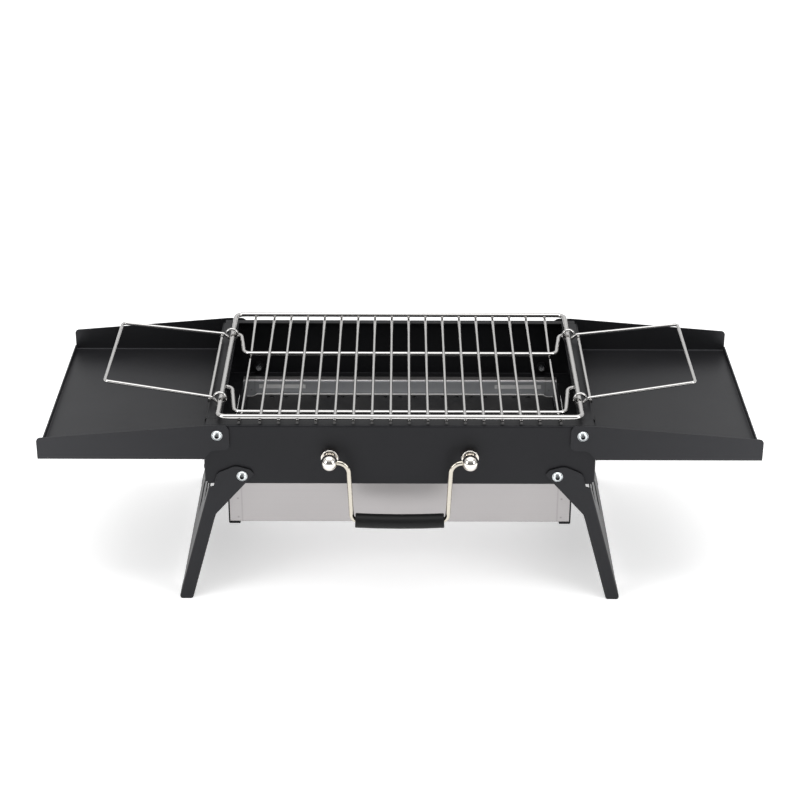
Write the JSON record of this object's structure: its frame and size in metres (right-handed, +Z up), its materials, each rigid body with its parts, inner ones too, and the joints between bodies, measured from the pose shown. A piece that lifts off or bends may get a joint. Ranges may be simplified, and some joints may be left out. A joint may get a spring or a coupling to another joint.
{
  "type": "folding camp grill",
  "caption": "Folding briefcase-style charcoal grill: bent sheet body, fold-over side trays, splayed folding legs, hanging pan, wire grate with folding handles and a carry bail.",
  "frame": {"origin": "on the ground under the middle of the whole open grill", "axes": "+X to the right along the body, +Y to the back, away from the carry handle, +Z up"},
  "size_m": [0.7326, 0.2903, 0.2243],
  "materials": {
    "black_coat": "satin black powder coat",
    "stainless_sheet": "fine brushed stainless sheet",
    "dark_plate": "dark heat-resistant coating",
    "chrome_wire": "bright plated wire",
    "polished_knob": "polished",
    "zinc_fastener": "bright zinc plate",
    "grip_rubber": "matt moulded"
  },
  "bodies": {
    "housing": {"front_panel": "black_coat", "back_panel": "black_coat", "end_panel_left": "black_coat", "end_panel_right": "black_coat", "corner_rivets": "black_coat", "knob_collar_left": "polished_knob", "knob_collar_right": "polished_knob", "knob_ball_left": "polished_knob", "knob_ball_right": "polished_knob", "tray_pivot_screws": "zinc_fastener", "leg_pivot_screws": "zinc_fastener", "tray_pivot_nuts": "zinc_fastener", "leg_pivot_nuts": "zinc_fastener", "tray_pivot_washers": "zinc_fastener", "leg_pivot_washers": "zinc_fastener", "knob_nuts": "zinc_fastener"},
    "tray_left": {"tray_left": "black_coat"},
    "tray_right": {"tray_right": "black_coat"},
    "leg_left": {"leg_left": "black_coat"},
    "leg_right": {"leg_right": "black_coat"},
    "pan": {"pan_trough": "stainless_sheet", "pan_end_left": "black_coat", "pan_end_right": "black_coat"},
    "charcoal_plate": {"charcoal_plate": "dark_plate"},
    "grate": {"grate_border": "chrome_wire", "grate_rods": "chrome_wire", "grate_bearer_front": "chrome_wire", "grate_bearer_rear": "chrome_wire"},
    "handle_left": {"grate_handle_left": "chrome_wire"},
    "handle_right": {"grate_handle_right": "chrome_wire"},
    "bail": {"carry_bail": "chrome_wire", "carry_grip": "grip_rubber"}
  },
  "joints": [
    {"name": "tray_left_fold", "type": "hinge", "parent": "housing", "child": "tray_left", "pos_m": [-0.1836, 0.00948, 0.1923], "axis": [0, -1, 0], "range_deg": [-180, 0]},
    {"name": "grate_handle_left_fold", "type": "hinge", "parent": "grate", "child": "handle_left", "pos_m": [-0.183, 0.01142, 0.20998], "axis": [0, -1, 0], "range_deg": [-173.7, 0]},
    {"name": "leg_left_fold", "type": "hinge", "parent": "housing", "child": "leg_left", "pos_m": [-0.15985, 0.00948, 0.1461], "axis": [0, 1, 0], "range_deg": [-105.3, 0]},
    {"name": "tray_right_fold", "type": "hinge", "parent": "housing", "child": "tray_right", "pos_m": [0.1836, 0.00948, 0.1923], "axis": [0, 1, 0], "range_deg": [-180, 0]},
    {"name": "grate_handle_right_fold", "type": "hinge", "parent": "grate", "child": "handle_right", "pos_m": [0.183, 0.01142, 0.20998], "axis": [0, 1, 0], "range_deg": [-173.7, 0]},
    {"name": "leg_right_fold", "type": "hinge", "parent": "housing", "child": "leg_right", "pos_m": [0.15985, 0.00948, 0.1461], "axis": [0, -1, 0], "range_deg": [-105.3, 0]},
    {"name": "pan_lift", "type": "slide", "parent": "housing", "child": "pan", "axis": [0, 0, 1], "range_m": [0, 0.054]},
    {"name": "charcoal_plate_lift", "type": "slide", "parent": "pan", "child": "charcoal_plate", "axis": [0, 0, 1], "range_m": [0, 0.015]},
    {"name": "grate_lift", "type": "slide", "parent": "housing", "child": "grate", "axis": [0, 0, 1], "range_m": [0, 0.1]},
    {"name": "carry_bail_swing", "type": "hinge", "parent": "housing", "child": "bail", "pos_m": [0, -0.13692, 0.1692], "axis": [-1, 0, 0], "range_deg": [0, 170]}
  ],
  "couplings": [
    {"joint": "grate_handle_left_fold", "follows": "tray_left_fold", "ratio": 0.965},
    {"joint": "grate_handle_right_fold", "follows": "tray_right_fold", "ratio": 0.965},
    {"joint": "leg_right_fold", "follows": "leg_left_fold", "ratio": 1},
    {"joint": "pan_lift", "follows": "leg_left_fold", "m_per_rad": -0.029382}
  ]
}
